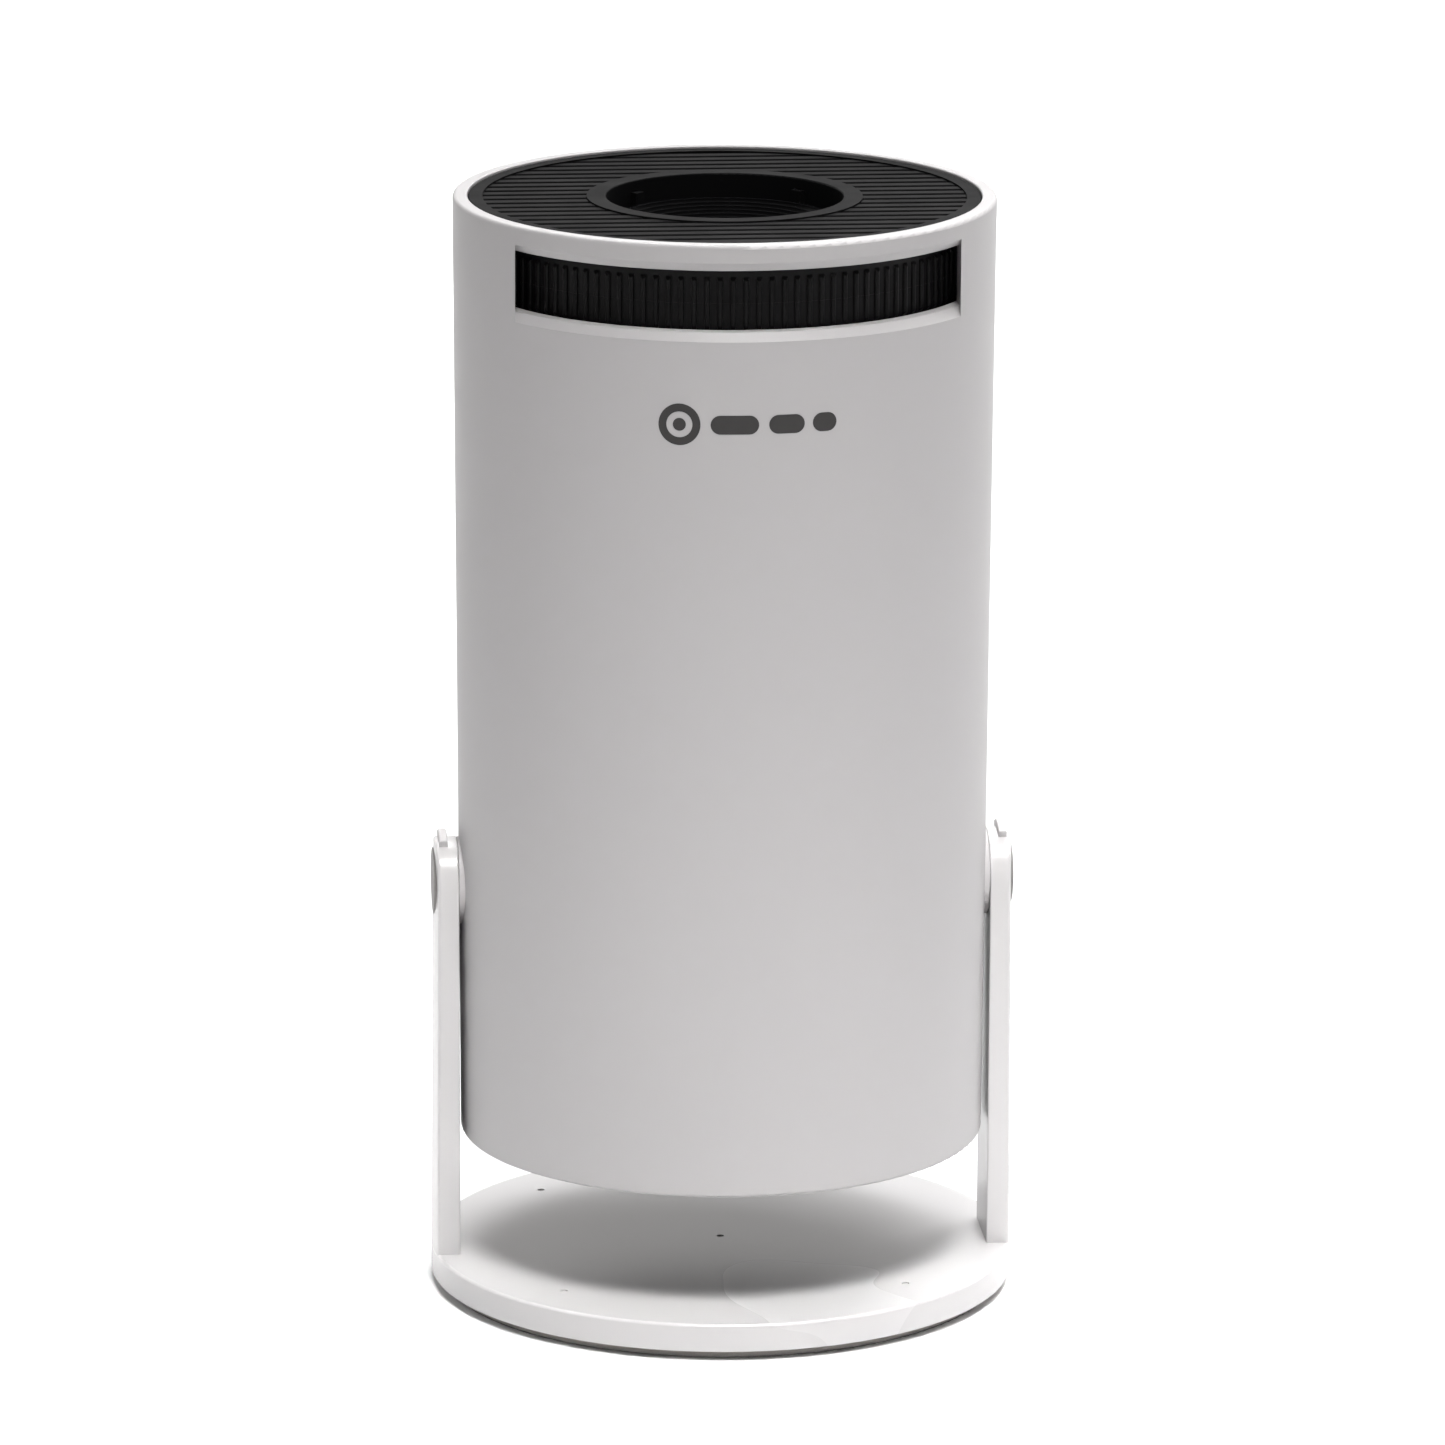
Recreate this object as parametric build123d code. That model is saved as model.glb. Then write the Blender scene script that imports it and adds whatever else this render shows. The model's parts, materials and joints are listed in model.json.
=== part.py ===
from build123d import *
import math
import os

# A portable mini projector: a white tube that tilts in a U-shaped stand.
# Frame: origin at the centre of the rubber pad's underside, +Z up, the focus window faces -Y
# and the tilt axis lies along X. All sizes are in millimetres.

# Stand
STAND_RADIUS = 60.0
PAD_RADIUS = 57.8
PAD_TOP = 2.1
PAD_ROUNDING = 0.6
PAD_GROOVE_INNER = 46.0
PAD_GROOVE_OUTER = 50.0
PAD_GROOVE_DEPTH = 0.4
BASE_TOP = 7.8
BASE_SKIN = 2.0
BASE_ROUNDING = 0.6
POCKET_RADIUS = 57.0
BASE_SCREW_OFFSET = 35.0
BASE_SCREW_RADIUS = 1.45
BASE_SCREW_HEAD = 3.0
BASE_SCREW_START = 2.4
BASE_SCREW_TIP = 6.8
MARK_RADIUS = 0.8
MARK_DEPTH = 0.35
ARM_INNER = 54.6
ARM_HALF_WIDTH = 9.1
ARM_FOOT = 3.0
ARM_TIP_RADIUS = 59.4
ARM_OUTER_ROUNDING = 0.7
ARM_INNER_ROUNDING = 0.3
PIVOT_HEIGHT = 85.5
CROWN_KEY_START = 56.7
CROWN_KEY_END = 58.4
CROWN_KEY_HEIGHT = 1.5
CROWN_KEY_SEAT = 1.1
CROWN_KEY_HALF_ANGLE = 27.0
CROWN_KEY_ROUNDING = 0.35

# Tube
TUBE_TOP = 228.0
TUBE_BOTTOM = 32.6
TUBE_TOP_RADIUS = 55.0
TUBE_BOTTOM_RADIUS = 53.8
TUBE_INNER_RADIUS = 50.8
TUBE_TOP_ROUNDING = 0.8
TUBE_BOTTOM_ROUNDING = 0.6
BEZEL_POCKET_RADIUS = 52.0
BEZEL_POCKET_ROUNDING = 0.3
BEZEL_SEAT = 225.0
WINDOW_HALF_WIDTH = 44.5
WINDOW_TOP_DEPTH = 3.6
WINDOW_BOTTOM_DEPTH = 19.5
WINDOW_CHAMFER = 1.8
WINDOW_SWEEP = 140.0
BOSS_RADIUS = 3.2
BOSS_BORE = 1.3
BOSS_RIB_HALF = 1.2
BOSS_SCREW_DEPTH = 10.0
PLATE_BOSS_CIRCLE = 47.2
PLATE_BOSS_BOTTOM = 170.0
COVER_BOSS_CIRCLE = 46.5
COVER_BOSS_TOP = 52.0

# Hinge, measured outwards along X from the middle of the tube
HUB_RADIUS = 9.0
HUB_INNER = 46.9
HUB_SHOULDER = 48.5
HUB_OUTER = 54.55
HUB_FLANGE = 1.6
HUB_ROUNDING = 0.2
HINGE_SHAFT_RADIUS = 3.0
HINGE_SHAFT_START = 42.0
HINGE_HEAD_RADIUS = 5.2
HINGE_HEAD_START = 57.6
HINGE_HEAD_END = 58.6
HINGE_SOCKET_START = 58.0
HINGE_SOCKET_RADIUS = 2.0
NUT_RADIUS = 5.8
NUT_START = 43.0
NUT_END = 46.8
BUSH_WALL = 1.2
WASHER_GAP = 0.02
WASHER_THICKNESS = 0.4
RUNNING_GAP = 0.05
FIT_GAP = 0.1
COUNTERBORE_FLOOR = 57.1
COUNTERBORE_RADIUS = 7.0
CAP_OUTER = 59.6
CAP_INNER = 58.8
CAP_ROUNDING = 0.3

# Front bezel
BEZEL_RADIUS = 51.8
BEZEL_TOP = 227.6
BEZEL_ROUNDING = 0.25
SLAT_TOP = 227.3
SLAT_FIELD_RADIUS = 48.9
SLAT_PITCH = 4.4
SLOT_WIDTH = 1.5
SLAT_CHAMFER = 0.2
COLLAR_OUTER = 27.9
COLLAR_INNER = 24.0
COLLAR_NECK = 26.0
COLLAR_BOTTOM = 213.6
COLLAR_ROUNDING = 0.3
KEY_BOTTOM = 213.9
KEY_TOP = 225.3
KEY_WIDTH = 2.5
KEY_INNER = 22.4

# Focus ring and lens barrel
RIB_COUNT = 120
RIB_ROOT = 48.9
RIB_CREST = 49.5
RIB_WIDTH = 1.1
RIB_BOTTOM = 209.9
RIB_TOP = 220.5
RIB_END = 0.7
RING_BOTTOM = 208.0
RING_TOP = 222.4
RING_BEVEL = 0.8
RING_INNER = 45.5
PARTING_HEIGHT = 215.2
PARTING_RIDGE = 0.06
WEB_BOTTOM = 211.0
WEB_TOP = 213.2
CAM_TUBE_INNER = 22.3
CAM_TUBE_OUTER = 25.8
CAM_TUBE_BOTTOM = 190.0
CAM_HEIGHT = 200.0
CAM_SLOT_WIDTH = 3.8
CAM_TURN = 40.0
CAM_TRAVEL = 2.4
CAM_PIN_RADIUS = 1.3
CAM_PIN_COUNT = 3
CAM_PIN_INNER = 19.6
CAM_PIN_OUTER = 25.4
BARREL_RADIUS = 22.0
BARREL_BORE = 18.0
BARREL_BOTTOM = 185.0
BARREL_TOP = 223.0
BARREL_LIP = 214.0
BARREL_FLANGE_RADIUS = 23.6
BARREL_FLANGE_BOTTOM = 217.0
BARREL_FLANGE_TOP = 219.0
HOOD_STEPS = 6
HOOD_STEP_HEIGHT = 0.6
HOOD_THROAT = 15.0

# Lenses: lower and upper edge height, then how far the middle of each face stands out
LENS_RADIUS = 17.9
LENS_LAND = 2.2
LENSES = {
    "front_lens": (207.5, 210.5, 2.0, 3.4),
    "middle_lens": (197.5, 202.5, -1.6, -1.6),
    "rear_lens": (189.0, 191.5, 2.0, 2.4),
}
# Rings between the lenses: inner radius, lower and upper height
LENS_RINGS = {
    "front_lens_ring": (16.2, 210.6, 213.9),
    "front_spacer": (16.0, 202.6, 207.4),
    "rear_spacer": (16.0, 191.6, 197.4),
    "lens_retainer": (16.0, 185.8, 188.9),
}

# Light engine
PLATE_BOTTOM = 186.0
PLATE_TOP = 188.0
PLATE_RADIUS = 50.5
PLATE_SCREW_CLEARANCE = 1.7
PLATE_SCREW_TIP = 178.0
PLATE_SCREW_HEAD = 1.4
SLEEVE_INNER = 26.1
SLEEVE_OUTER = 28.6
SLEEVE_TOP = 210.7
SLEEVE_RIB_COUNT = 8
SLEEVE_RIB_REACH = 38.0
SLEEVE_RIB_TOP = 198.0
ENGINE_HALF_X = 36.0
ENGINE_HALF_Y = 30.0
ENGINE_WALL = 2.0
ENGINE_BOTTOM = 98.4
ENGINE_POST_X = 32.0
ENGINE_POST_Y = 26.0
ENGINE_POST_RADIUS = 2.6
ENGINE_POST_TOP = 110.0
ENGINE_POST_BORE = 1.25
OPTIC_HALF_X = 33.8
OPTIC_HALF_Y = 27.8
# Flat optical plates: lower face and thickness
OPTICS = {
    "front_field_lens": (160.0, 1.8),
    "lcd_panel": (150.0, 1.2),
    "rear_field_lens": (140.0, 1.8),
    "heat_glass": (130.0, 1.5),
}
CONDENSER_FLANGE = 27.0
CONDENSER_RADIUS = 23.0
CONDENSER_BOTTOM = 112.0
LED_BOARD_HALF = 20.0
LED_BOARD_THICKNESS = 1.6
LED_RADIUS = 9.0
SINK_BASE = 92.4
FIN_BOTTOM = 61.0
FIN_COUNT = 15
FIN_THICKNESS = 1.2
FIN_HALF_SPAN = 27.0
FIN_HALF_LENGTH = 28.0
SINK_POST_RADIUS = 3.4

# Fan, board and rear cover
FAN_HALF = 30.0
FAN_BOTTOM = 46.0
FAN_BORE = 28.2
FAN_HUB = 12.0
FAN_HUB_WALL = 1.2
FAN_SHAFT_RADIUS = 1.5
FAN_SCREW_OFFSET = 25.0
STRUT_COUNT = 3
STRUT_THICKNESS = 2.0
BLADE_COUNT = 7
BLADE_PITCH = 38.0
BOARD_FRONT = 36.0
BOARD_THICKNESS = 1.6
BOARD_HALF_WIDTH = 30.0
BOARD_BOTTOM = 44.0
BOARD_TOP = 176.0
BOARD_SCREW_X = 24.0
BOARD_SCREW_HEIGHTS = (112.0, 168.0)
# Chips on the main board: middle x, middle height, width, height and thickness
CHIPS = [
    (-12.0, 132.0, 16.0, 16.0, 1.4),
    (10.0, 150.0, 12.0, 9.0, 1.1),
    (10.0, 138.0, 12.0, 9.0, 1.1),
    (-14.0, 92.0, 9.0, 12.0, 3.5),
    (14.0, 84.0, 12.0, 12.0, 5.0),
    (0.0, 66.0, 14.0, 8.0, 1.6),
]
COVER_RADIUS = 50.6
COVER_BOTTOM = 33.7
COVER_TOP = 36.2
COVER_ROUNDING = 0.4
VENT_OUTER = 27.0
VENT_INNER = 6.0
VENT_PITCH = 4.0
VENT_SLOT = 2.0
SOCKET_MOUTH = 34.4
SOCKET_TOP = 47.0
SOCKET_Y = 33.0
SOCKET_HALF_DEPTH = 2.9
# Where each socket starts and ends along X
SOCKET_PLACES = {
    "hdmi_socket": (-21.0, -6.0),
    "usb_socket": (-3.0, 10.2),
    "audio_jack": (13.0, 19.0),
    "dc_jack": (21.5, 29.5),
}
BUTTON_X = -25.4
BUTTON_RADIUS = 2.6
BUTTON_FACE = 33.0
BUTTON_END = 38.6
LIGHT_Y = 26.5
LIGHT_RADIUS = 1.1
SPEAKER_HALF_WIDTH = 19.0
SPEAKER_FRONT = 43.0
SPEAKER_BOTTOM = 114.0
SPEAKER_TOP = 152.0

SIDES = {"left": -1, "right": 1}
QUARTERS = [(-1, -1), (-1, 1), (1, -1), (1, 1)]


def rod(radius, bottom, top, x=0.0, y=0.0):
    """Upright cylinder between two heights."""
    standing = Cylinder(radius, top - bottom, align=(Align.CENTER, Align.CENTER, Align.MIN))
    return Pos(x, y, bottom) * standing


def rod_x(radius, start, end, y=0.0, z=PIVOT_HEIGHT):
    """Cylinder along X between two places on that axis."""
    low, high = sorted((start, end))
    lying = Cylinder(radius, high - low, align=(Align.CENTER, Align.CENTER, Align.MIN))
    return Pos(low, y, z) * Rot(0, 90, 0) * lying


def block(x_range, y_range, z_range):
    """Box between three pairs of places."""
    low = [min(pair) for pair in (x_range, y_range, z_range)]
    size = [abs(pair[1] - pair[0]) for pair in (x_range, y_range, z_range)]
    return Pos(*low) * Box(*size, align=(Align.MIN, Align.MIN, Align.MIN))


def turned(points, angle=360.0):
    """Solid turned about Z from a closed outline of (radius, height) points."""
    outline = Plane.XZ * make_face(Polyline(*points, close=True))
    return revolve(outline, Axis.Z, angle)


def round_edges(solid, radius, height, edge_radius):
    """Round the circular edges of a solid that have this radius and height."""
    wanted = [
        edge
        for edge in solid.edges().filter_by(GeomType.CIRCLE)
        if abs(edge.radius - radius) < 0.05 and abs(edge.arc_center.Z - height) < 0.05
    ]
    return fillet(wanted, edge_radius)


def around(count, start=0.0):
    """Evenly spaced angles in degrees."""
    return [start + 360.0 * step / count for step in range(count)]


def screw(radius, head_radius, head_height, tip, head_bottom, x, y):
    """Screw along Z with a cross recess; the head is at head_bottom and the tip at the other end."""
    upwards = tip > head_bottom
    head_end = head_bottom + head_height if upwards else head_bottom - head_height
    head = rod(head_radius, min(head_bottom, head_end), max(head_bottom, head_end), x, y)
    shank = rod(radius, min(head_end, tip), max(head_end, tip), x, y)
    depth = 0.6 * head_height
    recess_end = head_bottom + depth if upwards else head_bottom - depth
    arm = 0.6 * head_radius
    slit = 0.14 * head_radius
    recess = block((x - arm, x + arm), (y - slit, y + slit), (head_bottom, recess_end))
    recess += block((x - slit, x + slit), (y - arm, y + arm), (head_bottom, recess_end))
    return head + shank - recess


# ---- stand ---------------------------------------------------------------


def arm(side):
    """One upright arm, leaning in slightly, with its round crown, hinge bore and counterbore."""
    limit_top = PIVOT_HEIGHT + ARM_HALF_WIDTH + 1
    middle = (ARM_FOOT + PIVOT_HEIGHT) / 2
    outline = Pos(0, middle) * Rectangle(2 * ARM_HALF_WIDTH, PIVOT_HEIGHT - ARM_FOOT)
    outline += Pos(0, PIVOT_HEIGHT) * Circle(ARM_HALF_WIDTH)
    slab = extrude(Plane.YZ.offset(ARM_INNER) * outline, STAND_RADIUS + 1 - ARM_INNER)
    body = slab & turned([(0, 0), (STAND_RADIUS, 0), (ARM_TIP_RADIUS, limit_top), (0, limit_top)])
    upper = body.edges().filter_by(lambda edge: edge.center().Z > BASE_TOP)
    body = fillet(upper.filter_by(lambda edge: edge.center().X > ARM_TIP_RADIUS - 1.1), ARM_OUTER_ROUNDING)
    upper = body.edges().filter_by(lambda edge: edge.center().Z > BASE_TOP)
    body = fillet(upper.filter_by(lambda edge: edge.center().X < ARM_INNER + 0.1), ARM_INNER_ROUNDING)
    body -= rod_x(HINGE_SHAFT_RADIUS + BUSH_WALL, ARM_INNER - 1, COUNTERBORE_FLOOR + 1)
    body -= rod_x(COUNTERBORE_RADIUS, COUNTERBORE_FLOOR, STAND_RADIUS + 1)
    body -= crown_key_blank(FIT_GAP / 2)
    return body if side > 0 else mirror(body, Plane.YZ)


def crown_key_blank(slack=0.0):
    """Square-edged arc on top of the right-hand crown; slack widens it for its own seat."""
    outer = rod_x(ARM_HALF_WIDTH + CROWN_KEY_HEIGHT, CROWN_KEY_START - slack, CROWN_KEY_END + slack)
    inner = rod_x(ARM_HALF_WIDTH - CROWN_KEY_SEAT - slack, ARM_INNER, STAND_RADIUS)
    reach = 2 * ARM_HALF_WIDTH
    half = reach * math.tan(math.radians(CROWN_KEY_HALF_ANGLE))
    wedge = make_face(Polyline((0, 0), (half, reach), (-half, reach), close=True))
    wedge = Plane.YZ.offset(ARM_INNER) * Pos(0, PIVOT_HEIGHT - slack) * wedge
    return (outer - inner) & extrude(wedge, STAND_RADIUS - ARM_INNER)


def crown_key(side):
    """Raised arc on top of a crown, with rounded upper edges."""
    key = crown_key_blank()

    def on_crest(edge):
        middle = edge.center()
        return math.hypot(middle.Y, middle.Z - PIVOT_HEIGHT) > ARM_HALF_WIDTH + 0.5 * CROWN_KEY_HEIGHT

    key = fillet(key.edges().filter_by(on_crest), CROWN_KEY_ROUNDING)
    return key if side > 0 else mirror(key, Plane.YZ)


def stand_yoke():
    """Base disc with a pocket below, and the two arms, as one moulding."""
    base = rod(STAND_RADIUS, PAD_TOP, BASE_TOP)
    base = round_edges(base, STAND_RADIUS, BASE_TOP, BASE_ROUNDING)
    base += arm(1) + arm(-1)
    skin = BASE_TOP - BASE_SKIN
    base -= rod(POCKET_RADIUS, PAD_TOP - 1, skin)
    for x, y in QUARTERS:
        place = (x * BASE_SCREW_OFFSET, y * BASE_SCREW_OFFSET)
        base -= rod(BASE_SCREW_RADIUS + RUNNING_GAP, skin - 1, BASE_SCREW_TIP + FIT_GAP, *place)
    for x, y in QUARTERS + [(0, 0)]:
        place = (x * BASE_SCREW_OFFSET, y * BASE_SCREW_OFFSET)
        base -= rod(MARK_RADIUS, BASE_TOP - MARK_DEPTH, BASE_TOP + 1, *place)
    return base


def ballast_plate():
    """Steel disc that fills the base's pocket, with countersunk screw places."""
    plate = rod(POCKET_RADIUS - 2 * FIT_GAP, PAD_TOP + FIT_GAP, BASE_TOP - BASE_SKIN)
    for x, y in QUARTERS:
        place = (x * BASE_SCREW_OFFSET, y * BASE_SCREW_OFFSET)
        plate -= rod(BASE_SCREW_HEAD + 0.3, 0, BASE_SCREW_START + 1.5, *place)
        plate -= rod(BASE_SCREW_RADIUS + 0.15, BASE_SCREW_START, BASE_TOP, *place)
    return plate


def base_screws():
    return [
        screw(
            BASE_SCREW_RADIUS, BASE_SCREW_HEAD, 1.5, BASE_SCREW_TIP, BASE_SCREW_START,
            x * BASE_SCREW_OFFSET, y * BASE_SCREW_OFFSET,
        )
        for x, y in QUARTERS
    ]


def rubber_pad():
    """Disc with a rounded lower edge and a shallow ring groove underneath."""
    pad = rod(PAD_RADIUS, 0, PAD_TOP)
    pad = round_edges(pad, PAD_RADIUS, 0, PAD_ROUNDING)
    return pad - (rod(PAD_GROOVE_OUTER, -1, PAD_GROOVE_DEPTH) - rod(PAD_GROOVE_INNER, -1, PAD_GROOVE_DEPTH))


def hinge_cap(side):
    cap = rod_x(COUNTERBORE_RADIUS - FIT_GAP, CAP_INNER, CAP_OUTER)
    rim = cap.edges().filter_by(GeomType.CIRCLE).sort_by(Axis.X)[-1]
    cap = fillet(rim, CAP_ROUNDING)
    return cap if side > 0 else mirror(cap, Plane.YZ)


def hinge_bush(side):
    outer = HINGE_SHAFT_RADIUS + BUSH_WALL - RUNNING_GAP
    tube = rod_x(outer, side * ARM_INNER, side * COUNTERBORE_FLOOR)
    return tube - rod_x(HINGE_SHAFT_RADIUS + RUNNING_GAP, side * (ARM_INNER - 1), side * STAND_RADIUS)


def friction_washer(side):
    start = COUNTERBORE_FLOOR + WASHER_GAP
    ring = rod_x(HINGE_HEAD_RADIUS, side * start, side * (start + WASHER_THICKNESS))
    return ring - rod_x(HINGE_SHAFT_RADIUS + 0.3, side * ARM_INNER, side * STAND_RADIUS)


# ---- hinge pieces on the tube ----------------------------------------------


def pivot_hub(side):
    """Round hub through the tube wall, with a flange inside."""
    hub = rod_x(HUB_RADIUS, HUB_SHOULDER, HUB_OUTER)
    rim = hub.edges().filter_by(GeomType.CIRCLE).sort_by(Axis.X)[-1]
    hub = fillet(rim, HUB_ROUNDING)
    hub += rod_x(HUB_RADIUS + HUB_FLANGE, HUB_INNER, HUB_SHOULDER)
    hub -= rod_x(HINGE_SHAFT_RADIUS + FIT_GAP, HUB_INNER - 1, STAND_RADIUS)
    return hub if side > 0 else mirror(hub, Plane.YZ)


def hinge_screw(side):
    """Shouldered screw whose flat head with a hexagon socket lies under the cap."""
    body = rod_x(HINGE_SHAFT_RADIUS, HINGE_SHAFT_START, HINGE_HEAD_START)
    body += rod_x(HINGE_HEAD_RADIUS, HINGE_HEAD_START, HINGE_HEAD_END)
    hexagon = Pos(0, PIVOT_HEIGHT) * RegularPolygon(HINGE_SOCKET_RADIUS, 6)
    body -= extrude(Plane.YZ.offset(HINGE_SOCKET_START) * hexagon, CAP_OUTER - HINGE_SOCKET_START)
    return body if side > 0 else mirror(body, Plane.YZ)


def hinge_nut(side):
    hexagon = Pos(0, PIVOT_HEIGHT) * RegularPolygon(NUT_RADIUS, 6)
    nut = extrude(Plane.YZ.offset(NUT_START) * hexagon, NUT_END - NUT_START)
    nut -= rod_x(HINGE_SHAFT_RADIUS + RUNNING_GAP, HINGE_SHAFT_START, HUB_SHOULDER)
    return nut if side > 0 else mirror(nut, Plane.YZ)


# ---- tube and its covers ---------------------------------------------------


def window_cutter():
    """The focus window, bevelled along its upper and lower edges and cut straight at its ends."""
    far = 2.0
    bevel = TUBE_TOP_RADIUS - WINDOW_CHAMFER
    inner = TUBE_INNER_RADIUS - far
    low = TUBE_TOP - WINDOW_BOTTOM_DEPTH
    high = TUBE_TOP - WINDOW_TOP_DEPTH
    outline = [
        (inner, low + WINDOW_CHAMFER),
        (bevel, low + WINDOW_CHAMFER),
        (TUBE_TOP_RADIUS + far, low - far),
        (TUBE_TOP_RADIUS + far, high + far),
        (bevel, high - WINDOW_CHAMFER),
        (inner, high - WINDOW_CHAMFER),
    ]
    ring = Rot(0, 0, -90 - WINDOW_SWEEP / 2) * turned(outline, WINDOW_SWEEP)
    front = (-STAND_RADIUS, 0)
    return ring & block((-WINDOW_HALF_WIDTH, WINDOW_HALF_WIDTH), front, (0, TUBE_TOP))


def boss(angle, circle, bottom, top, from_top):
    """Screw boss on the tube's inner wall, joined to it by a rib."""
    reach = TUBE_INNER_RADIUS + 1.0
    body = rod(BOSS_RADIUS, bottom, top, circle)
    body += block((circle, reach), (-BOSS_RIB_HALF, BOSS_RIB_HALF), (bottom, top))
    hole_start = top - BOSS_SCREW_DEPTH if from_top else bottom - 1
    hole_end = top + 1 if from_top else bottom + BOSS_SCREW_DEPTH
    body -= rod(BOSS_BORE, hole_start, hole_end, circle)
    return Rot(0, 0, angle) * body


def outer_tube():
    """Slightly tapered tube with the focus window, hub holes and screw bosses."""
    outline = [
        (TUBE_BOTTOM_RADIUS, TUBE_BOTTOM),
        (TUBE_TOP_RADIUS, TUBE_TOP),
        (BEZEL_POCKET_RADIUS, TUBE_TOP),
        (BEZEL_POCKET_RADIUS, BEZEL_SEAT),
        (TUBE_INNER_RADIUS, BEZEL_SEAT),
        (TUBE_INNER_RADIUS, TUBE_BOTTOM),
    ]
    tube = turned(outline)
    tube = round_edges(tube, TUBE_TOP_RADIUS, TUBE_TOP, TUBE_TOP_ROUNDING)
    tube = round_edges(tube, TUBE_BOTTOM_RADIUS, TUBE_BOTTOM, TUBE_BOTTOM_ROUNDING)
    tube = round_edges(tube, BEZEL_POCKET_RADIUS, TUBE_TOP, BEZEL_POCKET_ROUNDING)
    for angle in around(4):
        tube += boss(angle, PLATE_BOSS_CIRCLE, PLATE_BOSS_BOTTOM, PLATE_BOTTOM, True)
    for angle in around(4, 45.0):
        tube += boss(angle, COVER_BOSS_CIRCLE, COVER_TOP, COVER_BOSS_TOP, False)
    tube -= window_cutter()
    for side in SIDES.values():
        tube -= rod_x(HUB_RADIUS + FIT_GAP, side * HINGE_SHAFT_START, side * STAND_RADIUS)
    return tube


def slat_cutter():
    """Straight slot with bevelled upper edges, along X through the whole disc."""
    half = SLOT_WIDTH / 2
    wide = half + SLAT_CHAMFER
    right = [
        (half, BEZEL_SEAT - 1), (half, SLAT_TOP - SLAT_CHAMFER),
        (wide, SLAT_TOP), (wide, SLAT_TOP + 1),
    ]
    left = [(-y, z) for y, z in reversed(right)]
    slit = make_face(Polyline(*right, *left, close=True))
    return extrude(Plane.YZ.offset(-STAND_RADIUS) * slit, 2 * STAND_RADIUS)


def front_bezel():
    """Slatted disc with a plain border, and a collar whose neck reaches down around the lens."""
    disc = rod(BEZEL_RADIUS, BEZEL_SEAT, BEZEL_TOP)
    disc = round_edges(disc, BEZEL_RADIUS, BEZEL_TOP, BEZEL_ROUNDING)
    field = rod(SLAT_FIELD_RADIUS, BEZEL_SEAT - 1, TUBE_TOP)
    field -= rod(COLLAR_OUTER, BEZEL_SEAT - 2, TUBE_TOP + 1)
    disc -= field & rod(STAND_RADIUS, SLAT_TOP, TUBE_TOP + 1)
    cutter = slat_cutter()
    steps = int(SLAT_FIELD_RADIUS // SLAT_PITCH)
    slits = Part() + [Pos(0, step * SLAT_PITCH, 0) * cutter for step in range(-steps, steps + 1)]
    disc -= slits & field
    disc += rod(COLLAR_NECK, COLLAR_BOTTOM, BEZEL_SEAT + 1)
    disc -= rod(COLLAR_INNER, COLLAR_BOTTOM - 1, BEZEL_TOP + 1)
    disc = round_edges(disc, COLLAR_INNER, BEZEL_TOP, COLLAR_ROUNDING)
    half_key = KEY_WIDTH / 2
    for angle in around(4, 45.0):
        key = block((KEY_INNER, COLLAR_INNER + 0.5), (-half_key, half_key), (KEY_BOTTOM, KEY_TOP))
        disc += Rot(0, 0, angle) * key
    return disc


def rear_cover():
    """Round cover with a fan grille, port cut-outs and screw holes."""
    cover = rod(COVER_RADIUS, COVER_BOTTOM, COVER_TOP)
    cover = round_edges(cover, COVER_RADIUS, COVER_BOTTOM, COVER_ROUNDING)
    span = (COVER_BOTTOM - 1, COVER_TOP + 1)
    vent = rod(VENT_OUTER, *span) - rod(VENT_INNER, *span)
    steps = int((VENT_OUTER - VENT_SLOT) // VENT_PITCH)
    whole = (-STAND_RADIUS, STAND_RADIUS)
    half_slot = VENT_SLOT / 2
    rows = [step * VENT_PITCH for step in range(-steps, steps + 1)]
    cover -= vent & (Part() + [block(whole, (y - half_slot, y + half_slot), span) for y in rows])
    reach = SOCKET_HALF_DEPTH + 0.3
    for low, high in SOCKET_PLACES.values():
        cover -= block((low - 0.2, high + 0.2), (SOCKET_Y - reach, SOCKET_Y + reach), span)
    cover -= rod(BUTTON_RADIUS + 0.3, *span, BUTTON_X, SOCKET_Y)
    cover -= rod(LIGHT_RADIUS + FIT_GAP, *span, BUTTON_X, LIGHT_Y)
    for angle in around(4, 45.0):
        cover -= Rot(0, 0, angle) * rod(1.7, *span, COVER_BOSS_CIRCLE)
        cover -= Rot(0, 0, angle) * rod(3.0, COVER_BOTTOM - 1, COVER_BOTTOM + 1.3, COVER_BOSS_CIRCLE)
    return cover


def rear_screws():
    single = screw(1.25, 2.8, 1.2, 44.0, COVER_BOTTOM + 0.1, COVER_BOSS_CIRCLE, 0)
    return [Rot(0, 0, angle) * single for angle in around(4, 45.0)]


# ---- focus ring and lens barrel ----------------------------------------------


def ribbed_disc(bottom, top, growth=0.0):
    """Disc with narrow rounded finger ribs round its rim; growth makes it larger all round."""
    root = RIB_ROOT + growth
    crest = RIB_CREST + growth
    step = 2 * math.pi / RIB_COUNT
    half_rib = RIB_WIDTH / 2 / RIB_ROOT
    half_valley = step / 2

    def at(radius, angle):
        return (radius * math.cos(angle), radius * math.sin(angle))

    arcs = []
    for index in range(RIB_COUNT):
        rib = index * step
        valley = rib + half_valley
        rib_end = at(root, rib + half_rib)
        arcs.append(ThreePointArc(at(root, rib - half_rib), at(crest, rib), rib_end))
        arcs.append(ThreePointArc(rib_end, at(root, valley), at(root, rib + step - half_rib)))
    return Pos(0, 0, bottom) * extrude(make_face(Wire(arcs)), top - bottom)


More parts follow.
